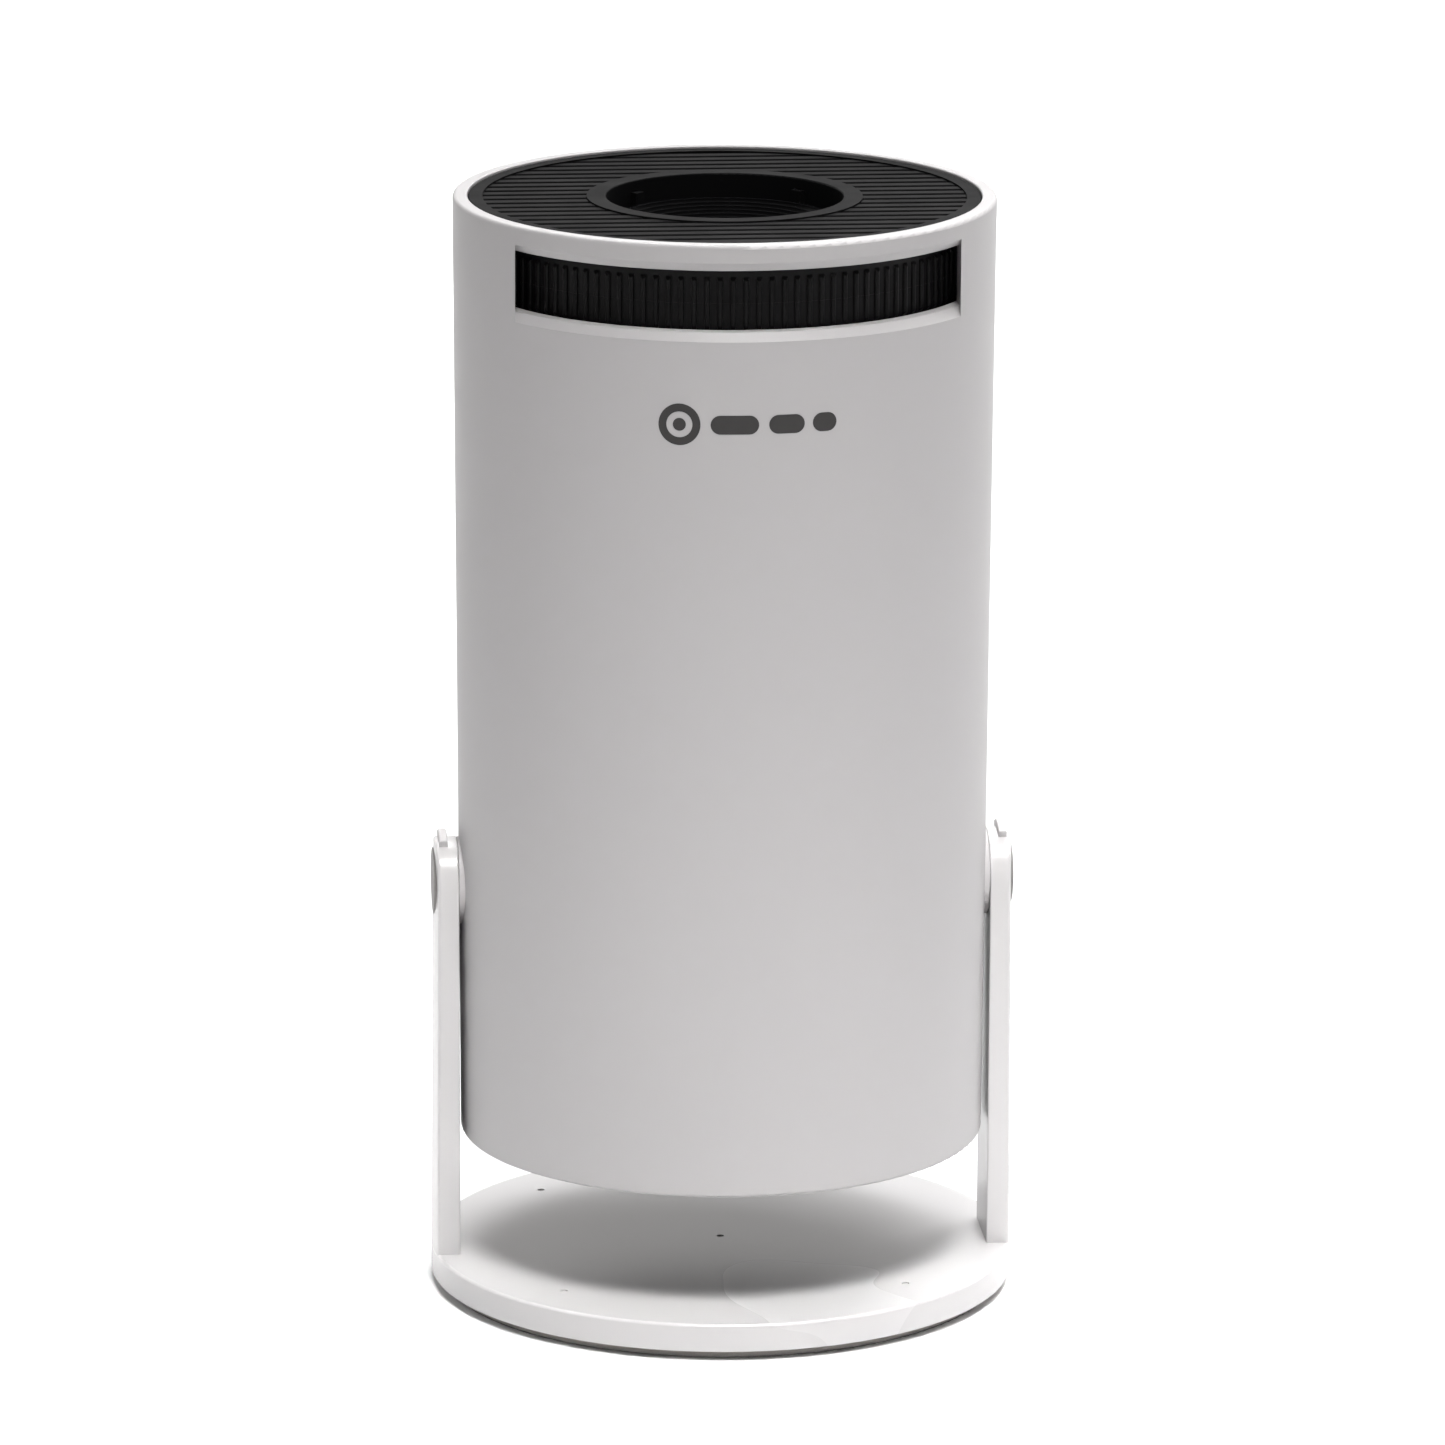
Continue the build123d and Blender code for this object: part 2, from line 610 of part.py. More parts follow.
def cam_slot(angle):
    """Sloping slot through the cam tube, so that turning the ring lifts the lens barrel."""
    middle = (CAM_TUBE_INNER + CAM_TUBE_OUTER) / 2
    slope = CAM_TRAVEL / (middle * math.sin(math.radians(CAM_TURN)))
    half_length = CAM_TUBE_OUTER * math.sin(math.radians(CAM_TURN)) + CAM_PIN_RADIUS + 0.4
    tilt = math.degrees(math.atan(slope))
    bar = Box(20.0, 2 * half_length, CAM_SLOT_WIDTH)
    return Rot(0, 0, angle) * Pos(19.0, 0, CAM_HEIGHT) * Rot(-tilt, 0, 0) * bar


def focus_ring():
    """Finger ring, web and cam tube in one piece, with a fine parting line round the ribs."""
    rib_ends = turned([
        (0, RIB_BOTTOM), (RIB_ROOT, RIB_BOTTOM), (RIB_CREST, RIB_BOTTOM + RIB_END),
        (RIB_CREST, RIB_TOP - RIB_END), (RIB_ROOT, RIB_TOP), (0, RIB_TOP),
    ])
    ring = ribbed_disc(RIB_BOTTOM, RIB_TOP) & rib_ends
    ring += ribbed_disc(PARTING_HEIGHT - PARTING_RIDGE, PARTING_HEIGHT + PARTING_RIDGE, PARTING_RIDGE)
    ring += rod(RIB_ROOT, RING_BOTTOM, RIB_BOTTOM + 0.5)
    ring += turned([
        (0, RIB_TOP - 0.5), (RIB_ROOT, RIB_TOP - 0.5), (RIB_ROOT, RING_TOP - RING_BEVEL),
        (RIB_ROOT - RING_BEVEL, RING_TOP), (0, RING_TOP),
    ])
    ring -= rod(RING_INNER, WEB_TOP, RING_TOP + 1)
    ring -= rod(RING_INNER, RING_BOTTOM - 1, WEB_BOTTOM)
    ring += rod(CAM_TUBE_OUTER, CAM_TUBE_BOTTOM, WEB_TOP)
    ring -= rod(CAM_TUBE_INNER, CAM_TUBE_BOTTOM - 1, WEB_TOP + 1)
    for angle in around(CAM_PIN_COUNT, 90.0):
        ring -= cam_slot(angle)
    return ring


def lens_barrel():
    """Barrel with a stepped light baffle at its mouth and a notched guide flange."""
    outline = [
        (BARREL_RADIUS, BARREL_BOTTOM),
        (BARREL_RADIUS, BARREL_FLANGE_BOTTOM),
        (BARREL_FLANGE_RADIUS, BARREL_FLANGE_BOTTOM),
        (BARREL_FLANGE_RADIUS, BARREL_FLANGE_TOP),
        (BARREL_RADIUS, BARREL_FLANGE_TOP),
        (BARREL_RADIUS, BARREL_TOP),
    ]
    for step in range(HOOD_STEPS):
        radius = HOOD_THROAT + HOOD_STEPS - step
        outline.append((radius, BARREL_TOP - step * HOOD_STEP_HEIGHT))
        outline.append((radius, BARREL_TOP - (step + 1) * HOOD_STEP_HEIGHT))
    throat = BARREL_TOP - HOOD_STEPS * HOOD_STEP_HEIGHT
    outline += [(HOOD_THROAT, throat), (HOOD_THROAT, BARREL_LIP)]
    outline += [(BARREL_BORE, BARREL_LIP), (BARREL_BORE, BARREL_BOTTOM)]
    barrel = turned(outline)
    half_notch = KEY_WIDTH / 2 + 0.4
    notch_span = (BARREL_FLANGE_BOTTOM - 1, BARREL_FLANGE_TOP + 1)
    notch = block((BARREL_RADIUS, COLLAR_NECK), (-half_notch, half_notch), notch_span)
    for angle in around(4, 45.0):
        barrel -= Rot(0, 0, angle) * notch
    for angle in around(CAM_PIN_COUNT, 90.0):
        hole = rod_x(CAM_PIN_RADIUS + RUNNING_GAP, CAM_PIN_INNER - FIT_GAP, CAM_PIN_OUTER, 0, CAM_HEIGHT)
        barrel -= Rot(0, 0, angle) * hole
    return barrel


def cam_pins():
    pin = rod_x(CAM_PIN_RADIUS, CAM_PIN_INNER, CAM_PIN_OUTER, 0, CAM_HEIGHT)
    return [Rot(0, 0, angle) * pin for angle in around(CAM_PIN_COUNT, 90.0)]


def lens(radius, edge_bottom, edge_top, bulge_bottom, bulge_top):
    """Round lens with a flat land at its edge; each bulge is how far that face's middle stands out."""
    curved = radius - LENS_LAND

    def face_arc(edge_height, bulge):
        middle = edge_height + bulge
        return ThreePointArc((0, middle), (curved / 2, edge_height + 0.75 * bulge), (curved, edge_height))

    outline = [
        face_arc(edge_top, bulge_top),
        Line((curved, edge_top), (radius, edge_top)),
        Line((radius, edge_top), (radius, edge_bottom)),
        Line((radius, edge_bottom), (curved, edge_bottom)),
        face_arc(edge_bottom, -bulge_bottom),
        Line((0, edge_bottom - bulge_bottom), (0, edge_top + bulge_top)),
    ]
    return revolve(Plane.XZ * make_face(Wire(outline)), Axis.Z)


def lens_ring(inner, bottom, top):
    return rod(LENS_RADIUS, bottom, top) - rod(inner, bottom - 1, top + 1)


# ---- light engine ------------------------------------------------------------


def lens_sleeve():
    """Plate that closes the engine, with the bearing tube in which the focus ring turns."""
    plate = rod(PLATE_RADIUS, PLATE_BOTTOM, PLATE_TOP) + rod(SLEEVE_OUTER, PLATE_BOTTOM, SLEEVE_TOP)
    for angle in around(SLEEVE_RIB_COUNT, 22.5):
        rib = block((SLEEVE_OUTER - 1, SLEEVE_RIB_REACH), (-0.8, 0.8), (PLATE_BOTTOM, SLEEVE_RIB_TOP))
        plate += Rot(0, 0, angle) * rib
    span = (PLATE_BOTTOM - 1, PLATE_TOP + 1)
    plate -= rod(SLEEVE_INNER, PLATE_TOP, SLEEVE_TOP + 1)
    plate -= rod(BARREL_RADIUS + 0.6, *span)
    for angle in around(4):
        plate -= Rot(0, 0, angle) * rod(PLATE_SCREW_CLEARANCE, *span, PLATE_BOSS_CIRCLE)
    cable_gap = block((-20, 20), (36.5, 45), span)
    return plate - cable_gap


def plate_screws():
    head = PLATE_TOP + PLATE_SCREW_HEAD
    single = screw(1.25, 2.6, PLATE_SCREW_HEAD, PLATE_SCREW_TIP, head, PLATE_BOSS_CIRCLE, 0)
    return [Rot(0, 0, angle) * single for angle in around(4)]


def engine_housing():
    """Light-tight box with corner posts and with studs behind it for the main board."""
    outer_x = (-ENGINE_HALF_X, ENGINE_HALF_X)
    outer_y = (-ENGINE_HALF_Y, ENGINE_HALF_Y)
    inner_x = (ENGINE_WALL - ENGINE_HALF_X, ENGINE_HALF_X - ENGINE_WALL)
    inner_y = (ENGINE_WALL - ENGINE_HALF_Y, ENGINE_HALF_Y - ENGINE_WALL)
    house = block(outer_x, outer_y, (ENGINE_BOTTOM, PLATE_BOTTOM))
    house -= block(inner_x, inner_y, (ENGINE_BOTTOM - 1, PLATE_BOTTOM + 1))
    for x, y in QUARTERS:
        place = (x * ENGINE_POST_X, y * ENGINE_POST_Y)
        house += rod(ENGINE_POST_RADIUS, ENGINE_BOTTOM, ENGINE_POST_TOP, *place)
        house -= rod(ENGINE_POST_BORE, ENGINE_BOTTOM - 1, ENGINE_POST_TOP - 2, *place)
    length = BOARD_FRONT - ENGINE_HALF_Y + 1
    standing = (Align.CENTER, Align.CENTER, Align.MIN)
    for x, z in board_screw_places():
        stud = Pos(x, ENGINE_HALF_Y - 1, z) * Rot(-90, 0, 0)
        house += stud * Cylinder(2.8, length, align=standing)
        house -= stud * Pos(0, 0, 2) * Cylinder(1.1, length, align=standing)
    return house


def engine_screws():
    screws = []
    for x, y in QUARTERS:
        place = (x * ENGINE_POST_X, y * ENGINE_POST_Y)
        screws.append(screw(1.2, 2.4, 1.4, 104.0, SINK_BASE - 1.4, *place))
    return screws


def optic(bottom, thickness):
    """Flat optical plate that fills the housing's section."""
    return block((-OPTIC_HALF_X, OPTIC_HALF_X), (-OPTIC_HALF_Y, OPTIC_HALF_Y), (bottom, bottom + thickness))


def led_module():
    """Square copper-core board with a round light source."""
    board_top = ENGINE_BOTTOM + LED_BOARD_THICKNESS
    sides = (-LED_BOARD_HALF, LED_BOARD_HALF)
    return block(sides, sides, (ENGINE_BOTTOM, board_top)) + rod(LED_RADIUS, board_top, board_top + 1.0)


def condenser_lens():
    """Thick dome on a thin flange that rests on the housing's corner posts."""
    flange = rod(CONDENSER_FLANGE, CONDENSER_BOTTOM, CONDENSER_BOTTOM + 2.0)
    return flange + lens(CONDENSER_RADIUS, CONDENSER_BOTTOM + 0.6, CONDENSER_BOTTOM + 2.5, 0.6, 8.0)


def heat_sink():
    """Base plate with a row of fins and four posts that take the fan screws."""
    sides = (-ENGINE_HALF_X, ENGINE_HALF_X)
    sink = block(sides, (-ENGINE_HALF_Y, ENGINE_HALF_Y), (SINK_BASE, ENGINE_BOTTOM))
    pitch = 2 * FIN_HALF_SPAN / (FIN_COUNT - 1)
    half = FIN_THICKNESS / 2
    for index in range(FIN_COUNT):
        x = index * pitch - FIN_HALF_SPAN
        sink += block((x - half, x + half), (-FIN_HALF_LENGTH, FIN_HALF_LENGTH), (FIN_BOTTOM, SINK_BASE))
    for x, y in QUARTERS:
        place = (x * FAN_SCREW_OFFSET, y * FAN_SCREW_OFFSET)
        sink += rod(SINK_POST_RADIUS, FIN_BOTTOM, SINK_BASE, *place)
        sink -= rod(1.45, FIN_BOTTOM - 1, FIN_BOTTOM + 8, *place)
        sink -= rod(1.5, SINK_BASE - 1, ENGINE_BOTTOM + 1, x * ENGINE_POST_X, y * ENGINE_POST_Y)
    return sink


# ---- fan ----------------------------------------------------------------------


def fan_frame():
    """Square fan frame with three struts that carry the motor cup."""
    sides = (-FAN_HALF, FAN_HALF)
    strut_bottom = FIN_BOTTOM - STRUT_THICKNESS
    frame = block(sides, sides, (FAN_BOTTOM, FIN_BOTTOM)) - rod(FAN_BORE, FAN_BOTTOM - 1, FIN_BOTTOM + 1)
    frame += rod(FAN_HUB, strut_bottom, FIN_BOTTOM)
    frame += rod(4.0, FIN_BOTTOM - 8.0, FIN_BOTTOM)
    for angle in around(STRUT_COUNT, 30.0):
        strut = block((FAN_HUB - 1, FAN_BORE + 0.5), (-1.5, 1.5), (strut_bottom, FIN_BOTTOM))
        frame += Rot(0, 0, angle) * strut
    frame -= rod(FAN_SHAFT_RADIUS + RUNNING_GAP, FIN_BOTTOM - 9, FIN_BOTTOM - 0.8)
    for x, y in QUARTERS:
        place = (x * FAN_SCREW_OFFSET, y * FAN_SCREW_OFFSET)
        frame -= rod(1.7, FAN_BOTTOM - 1, FIN_BOTTOM + 1, *place)
    return frame


def fan_rotor():
    """Hub cup with its shaft and seven pitched blades."""
    bottom = FAN_BOTTOM + 0.8
    top = FIN_BOTTOM - STRUT_THICKNESS - 1.0
    hub = rod(FAN_HUB, bottom, top) - rod(FAN_HUB - FAN_HUB_WALL, bottom + 1.4, top + 1)
    hub += rod(FAN_SHAFT_RADIUS, bottom + 0.2, FIN_BOTTOM - 1.0)
    limit = rod(FAN_BORE - 0.8, bottom, top) - rod(FAN_HUB - 0.4, FAN_BOTTOM, top + 1)
    blade = Pos(20, 0, (bottom + top) / 2) * Rot(BLADE_PITCH, 0, 0) * Box(20, 18, 1.3)
    for angle in around(BLADE_COUNT):
        hub += Rot(0, 0, angle) * (blade & limit)
    return hub


def fan_screws():
    screws = []
    for x, y in QUARTERS:
        place = (x * FAN_SCREW_OFFSET, y * FAN_SCREW_OFFSET)
        screws.append(screw(1.4, 2.8, 1.6, FIN_BOTTOM + 6.0, FAN_BOTTOM - 1.6, *place))
    return screws


# ---- electronics ----------------------------------------------------------------


def board_screw_places():
    """Where the main board is screwed on, as (x, z)."""
    return [(x, z) for x in (-BOARD_SCREW_X, BOARD_SCREW_X) for z in BOARD_SCREW_HEIGHTS]


def main_board():
    """Upright circuit board with its larger chips on the rear side."""
    back = BOARD_FRONT + BOARD_THICKNESS
    board = block((-BOARD_HALF_WIDTH, BOARD_HALF_WIDTH), (BOARD_FRONT, back), (BOARD_BOTTOM, BOARD_TOP))
    for x, z in board_screw_places():
        board -= Pos(x, BOARD_FRONT, z) * Rot(90, 0, 0) * Cylinder(1.4, 10)
    for x, z, width, height, depth in CHIPS:
        chip = block((x - width / 2, x + width / 2), (back, back + depth), (z - height / 2, z + height / 2))
        board += chip
    return board


def processor_heat_sink():
    """Small finned block on the main board's processor."""
    x, z, _, _, chip_depth = CHIPS[0]
    back = BOARD_FRONT + BOARD_THICKNESS + chip_depth
    heights = (z - 9, z + 9)
    sink = block((x - 9, x + 9), (back, back + 1.5), heights)
    fin_count = 6
    pitch = 16.8 / (fin_count - 1)
    for index in range(fin_count):
        middle = x - 8.4 + index * pitch
        sink += block((middle - 0.5, middle + 0.5), (back + 1.5, back + 5.5), heights)
    return sink


def board_screws():
    upright = screw(1.0, 2.2, 1.2, -5.0, BOARD_THICKNESS + 1.2, 0, 0)
    return [Pos(x, BOARD_FRONT, z) * Rot(-90, 0, 0) * upright for x, z in board_screw_places()]


def socket(low, high, wall, tongue):
    """Shielded socket that opens downwards, with a contact tongue."""
    inside = SOCKET_HALF_DEPTH - wall
    body = socket_block(low, high)
    body -= block(
        (low + wall, high - wall), (SOCKET_Y - inside, SOCKET_Y + inside), (SOCKET_MOUTH - 1, SOCKET_TOP - 2)
    )
    body += block(
        (low + 2.2, high - 2.2), (SOCKET_Y - tongue, SOCKET_Y + tongue), (SOCKET_MOUTH + 1.2, SOCKET_TOP - 1)
    )
    return body


def socket_block(low, high):
    """Outer block shared by every socket."""
    depth = (SOCKET_Y - SOCKET_HALF_DEPTH, SOCKET_Y + SOCKET_HALF_DEPTH)
    return block((low, high), depth, (SOCKET_MOUTH, SOCKET_TOP))


def round_jack(low, high, bore, pin):
    """Jack block with a round hole that opens downwards, and a middle pin if it has one."""
    middle = (low + high) / 2
    body = socket_block(low, high) - rod(bore, SOCKET_MOUTH - 1, SOCKET_TOP - 1.5, middle, SOCKET_Y)
    if pin:
        body += rod(pin, SOCKET_MOUTH + 1.5, SOCKET_TOP - 1, middle, SOCKET_Y)
    return body


def speaker():
    """Small box speaker with a round cone, on the front of the engine."""
    sides = (-SPEAKER_HALF_WIDTH, SPEAKER_HALF_WIDTH)
    box = block(sides, (-SPEAKER_FRONT, -ENGINE_HALF_Y), (SPEAKER_BOTTOM, SPEAKER_TOP))
    cone = turned([(0, 0), (6.0, 0), (15.0, 4.0), (16.5, 4.0), (16.5, 6.0), (0, 6.0)])
    middle = (SPEAKER_BOTTOM + SPEAKER_TOP) / 2
    return box - Pos(0, 4.5 - SPEAKER_FRONT, middle) * Rot(90, 0, 0) * cone


def power_switch():
    """Tact switch above the power button."""
    depth = (SOCKET_Y - SOCKET_HALF_DEPTH, SOCKET_Y + SOCKET_HALF_DEPTH)
    body = block((BUTTON_X - 3, BUTTON_X + 3), depth, (42.0, 46.0))
    return body + rod(1.6, 40.9, 43.0, BUTTON_X, SOCKET_Y)


def power_button():
    """Button in the rear cover; it is pressed upwards into the cover."""
    button = rod(BUTTON_RADIUS, BUTTON_FACE, BUTTON_END, BUTTON_X, SOCKET_Y)
    button = round_edges(button, BUTTON_RADIUS, BUTTON_FACE, 0.4)
    return button + rod(BUTTON_RADIUS + 0.9, COVER_TOP + 0.1, COVER_TOP + 1.1, BUTTON_X, SOCKET_Y)


def indicator_light():
    return rod(LIGHT_RADIUS, COVER_BOTTOM + 0.2, 41.0, BUTTON_X, LIGHT_Y)


def build_parts():
    """Every named piece of the projector."""
    parts = {
        "stand_yoke": stand_yoke(),
        "ballast_plate": ballast_plate(),
        "base_screws": base_screws(),
        "rubber_pad": rubber_pad(),
        "outer_tube": outer_tube(),
        "front_bezel": front_bezel(),
        "rear_cover": rear_cover(),
        "rear_screws": rear_screws(),
        "focus_ring": focus_ring(),
        "lens_barrel": lens_barrel(),
        "cam_pins": cam_pins(),
        "lens_sleeve": lens_sleeve(),
        "plate_screws": plate_screws(),
        "engine_housing": engine_housing(),
        "engine_screws": engine_screws(),
        "condenser_lens": condenser_lens(),
        "led_module": led_module(),
        "heat_sink": heat_sink(),
        "fan_frame": fan_frame(),
        "fan_rotor": fan_rotor(),
        "fan_screws": fan_screws(),
        "main_board": main_board(),
        "processor_heat_sink": processor_heat_sink(),
        "board_screws": board_screws(),
        "hdmi_socket": socket(*SOCKET_PLACES["hdmi_socket"], 0.5, 0.6),
        "usb_socket": socket(*SOCKET_PLACES["usb_socket"], 0.4, 0.9),
        "audio_jack": round_jack(*SOCKET_PLACES["audio_jack"], 1.8, 0),
        "dc_jack": round_jack(*SOCKET_PLACES["dc_jack"], 2.8, 0.7),
        "speaker": speaker(),
        "power_switch": power_switch(),
        "power_button": power_button(),
        "indicator_light": indicator_light(),
    }
    for name, sizes in LENSES.items():
        parts[name] = lens(LENS_RADIUS, *sizes)
    for name, sizes in LENS_RINGS.items():
        parts[name] = lens_ring(*sizes)
    for name, sizes in OPTICS.items():
        parts[name] = optic(*sizes)
    for name, side in SIDES.items():
        parts[f"{name}_crown_key"] = crown_key(side)
        parts[f"{name}_hinge_cap"] = hinge_cap(side)
        parts[f"{name}_hinge_bush"] = hinge_bush(side)
        parts[f"{name}_friction_washer"] = friction_washer(side)
        parts[f"{name}_pivot_hub"] = pivot_hub(side)
        parts[f"{name}_hinge_screw"] = hinge_screw(side)
        parts[f"{name}_hinge_nut"] = hinge_nut(side)
    return parts


def write_parts(parts):
    os.makedirs("parts", exist_ok=True)
    for name, shape in parts.items():
        solids = []
        for piece in shape if isinstance(shape, list) else [shape]:
            solids.extend(piece.solids())
        whole = solids[0] if len(solids) == 1 else Compound(children=solids)
        export_step(whole, f"parts/{name}.step")


write_parts(build_parts())
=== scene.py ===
import json
import math

import bmesh
import bpy
from mathutils import Matrix, Vector


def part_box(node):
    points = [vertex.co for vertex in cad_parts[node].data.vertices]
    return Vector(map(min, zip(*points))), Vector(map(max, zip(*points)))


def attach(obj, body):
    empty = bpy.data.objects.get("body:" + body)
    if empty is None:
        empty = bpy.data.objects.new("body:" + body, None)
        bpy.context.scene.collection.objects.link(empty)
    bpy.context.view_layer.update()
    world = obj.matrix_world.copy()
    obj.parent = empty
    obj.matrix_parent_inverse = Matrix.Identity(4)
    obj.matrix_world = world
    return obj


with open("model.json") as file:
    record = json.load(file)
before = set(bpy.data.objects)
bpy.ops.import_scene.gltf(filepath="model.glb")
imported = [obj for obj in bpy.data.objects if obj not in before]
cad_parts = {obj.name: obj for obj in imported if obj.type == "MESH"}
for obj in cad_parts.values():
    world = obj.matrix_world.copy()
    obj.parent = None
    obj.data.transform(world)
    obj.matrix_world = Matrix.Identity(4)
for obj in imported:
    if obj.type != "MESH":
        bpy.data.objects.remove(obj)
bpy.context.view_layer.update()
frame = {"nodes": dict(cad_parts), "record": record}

MM = 0.001

# ---- camera and stage ---------------------------------------------------------------

# Where the camera stands, seen from the point on the upright axis that it looks at:
# azimuth from -Y towards +X, elevation and roll in degrees, distance and height in metres
CAMERA_AZIMUTH = -5.03
CAMERA_ELEVATION = 14.16
CAMERA_ROLL = 0.242
CAMERA_DISTANCE = 1.8465
CAMERA_AIM_HEIGHT = 0.1178
FARTHEST_SEEN = 20.0
# In millimetres, as Blender gives a lens
FOCAL_LENGTH = 224.56
SENSOR_WIDTH = 36.0


def make_camera():
    azimuth = math.radians(CAMERA_AZIMUTH)
    elevation = math.radians(CAMERA_ELEVATION)
    roll = math.radians(CAMERA_ROLL)
    level = math.cos(elevation)
    back = Vector((math.sin(azimuth) * level, -math.cos(azimuth) * level, math.sin(elevation)))
    right = (-back).cross(Vector((0, 0, 1))).normalized()
    up = right.cross(-back)
    across = math.cos(roll) * right + math.sin(roll) * up
    above = -math.sin(roll) * right + math.cos(roll) * up
    camera = bpy.data.objects.new("camera", bpy.data.cameras.new("camera"))
    bpy.context.scene.collection.objects.link(camera)
    axes = Matrix((across, above, back)).transposed().to_4x4()
    place = Vector((0, 0, CAMERA_AIM_HEIGHT)) + CAMERA_DISTANCE * back
    camera.matrix_world = Matrix.Translation(place) @ axes
    camera.data.sensor_width = SENSOR_WIDTH
    camera.data.lens = FOCAL_LENGTH
    camera.data.clip_end = FARTHEST_SEEN
    bpy.context.scene.camera = camera


def add_range(nodes, links, source, given, wanted):
    """Node that maps a source from one range, given as its two ends, to another."""
    node = nodes.new("ShaderNodeMapRange")
    ends = ("From Min", "From Max", "To Min", "To Max")
    for socket, value in zip(ends, (*given, *wanted)):
        node.inputs[socket].default_value = value
    links.new(source, node.inputs["Value"])
    return node.outputs["Result"]


def add_area_light(name, place, target, size, spread, power, color):
    data = bpy.data.lights.new(name, "AREA")
    data.shape = "RECTANGLE"
    data.size, data.size_y = size
    data.spread = math.radians(spread)
    data.energy = power
    data.color = color
    light = bpy.data.objects.new(name, data)
    bpy.context.scene.collection.objects.link(light)
    light.location = place
    shines = Vector(target) - Vector(place)
    light.rotation_euler = shines.to_track_quat("-Z", "Y").to_euler()


# Name, place, target, size, spread in degrees, power in watts and colour of each soft light.
# The first two model the tube from behind and from the right, the third lights the base's front
# alone, and the last keeps the floor behind the object white.
LIGHTS = [
    ("rear_right", (0.6, 1.0, 1.5), (0, 0, 0.1), (1.3, 1.3), 180, 31.0, (1.0, 1.0, 1.0)),
    ("right_top", (0.8, -0.2, 1.7), (0, 0, 0.1), (0.8, 0.8), 180, 4.0, (0.97, 0.96, 1.0)),
    ("front_top", (0.05, -0.6, 1.0), (0.0, -0.14, 0), (0.5, 0.4), 26, 0.92, (1.0, 0.99, 0.98)),
    ("back_floor", (0.0, 1.5, 2.4), (0, 1.1, 0), (1.6, 1.6), 60, 10.5, (1.0, 1.0, 1.0)),
]
WORLD_COLOR = (1.0, 0.985, 0.975, 1.0)
WORLD_STRENGTH = 0.19
# A bright backdrop low down behind the object, as a studio sheet would be
BACKDROP_STRENGTH = 1.15
# Y of a direction where the backdrop starts and where it is full, and Z where it starts to fade
# and where it is gone
BACKDROP_BEHIND = (0.2, 0.7)
BACKDROP_FADES = (0.30, 0.50)


def make_lights():
    for light in LIGHTS:
        add_area_light(*light)


def make_world():
    """Dim even light from all round, and the bright backdrop low down behind."""
    world = bpy.data.worlds.new("studio")
    bpy.context.scene.world = world
    world.use_nodes = True
    nodes, links = world.node_tree.nodes, world.node_tree.links
    background = nodes["Background"]
    background.inputs["Color"].default_value = WORLD_COLOR
    place = nodes.new("ShaderNodeTexCoord")
    axes = nodes.new("ShaderNodeSeparateXYZ")
    links.new(place.outputs["Generated"], axes.inputs["Vector"])

    def ranged(source, given, wanted):
        return add_range(nodes, links, source, given, wanted)

    behind = ranged(axes.outputs["Y"], BACKDROP_BEHIND, (0.0, 1.0))
    low_down = ranged(axes.outputs["Z"], BACKDROP_FADES, (1.0, 0.0))
    sheet = nodes.new("ShaderNodeMath")
    sheet.operation = "MULTIPLY"
    links.new(behind, sheet.inputs[0])
    links.new(low_down, sheet.inputs[1])
    strength = ranged(sheet.outputs["Value"], (0.0, 1.0), (WORLD_STRENGTH, BACKDROP_STRENGTH))
    links.new(strength, background.inputs["Strength"])


# ---- materials ------------------------------------------------------------------------

# A mix node of colours has sockets of the same name for every kind of value, so these go by place
MIX_SHARE, MIX_FIRST, MIX_SECOND = 0, 6, 7
MIX_RESULT = 2
# The middle of a noise texture's values, where nearly all of them lie
NOISE_RANGE = (0.3, 0.7)


class Finish:
    """A Principled material with helpers for procedural colour, roughness and bump."""

    def __init__(self, name, color, roughness, **sockets):
        self.material = bpy.data.materials.new(name)
        self.material.use_nodes = True
        self.nodes = self.material.node_tree.nodes
        self.links = self.material.node_tree.links
        self.shader = self.nodes["Principled BSDF"]
        self.color = color
        self.set("Base Color", (*color, 1.0))
        self.set("Roughness", roughness)
        for socket, value in sockets.items():
            self.set(socket.replace("_", " "), value)

    def set(self, socket, value):
        self.shader.inputs[socket].default_value = value

    def node(self, kind, **inputs):
        node = self.nodes.new(kind)
        for socket, value in inputs.items():
            node.inputs[socket.replace("_", " ")].default_value = value
        return node

    def noise(self, scale, detail=2.0, stretch=(1, 1, 1)):
        """Noise over the object's own coordinates, in metres."""
        place = self.nodes.new("ShaderNodeTexCoord")
        mapping = self.node("ShaderNodeMapping")
        mapping.inputs["Scale"].default_value = stretch
        self.links.new(place.outputs["Object"], mapping.inputs["Vector"])
        texture = self.node("ShaderNodeTexNoise", Scale=scale, Detail=detail)
        self.links.new(mapping.outputs["Vector"], texture.inputs["Vector"])
        return texture.outputs["Fac"]

    def spread(self, source, low, high, given=NOISE_RANGE):
        """Map a source from its given range to low..high."""
        return add_range(self.nodes, self.links, source, given, (low, high))

    def vary_color(self, source, other):
        """Blend from the base colour to another colour as the source goes from 0 to 1."""
        mix = self.nodes.new("ShaderNodeMix")
        mix.data_type = "RGBA"
        mix.inputs[MIX_FIRST].default_value = (*self.color, 1.0)
        mix.inputs[MIX_SECOND].default_value = (*other, 1.0)
        self.links.new(source, mix.inputs[MIX_SHARE])
        self.links.new(mix.outputs[MIX_RESULT], self.shader.inputs["Base Color"])
        return self

    def vary_roughness(self, source, low, high):
        """Let the roughness wander between two values, as a moulded or painted face does."""
        self.links.new(self.spread(source, low, high), self.shader.inputs["Roughness"])
        return self

    def bump(self, source, strength, distance):
        """Raise the surface with a source, by a distance in metres."""
        bump = self.node("ShaderNodeBump", Strength=strength, Distance=distance)
        self.links.new(source, bump.inputs["Height"])
        self.links.new(bump.outputs["Normal"], self.shader.inputs["Normal"])
        return self


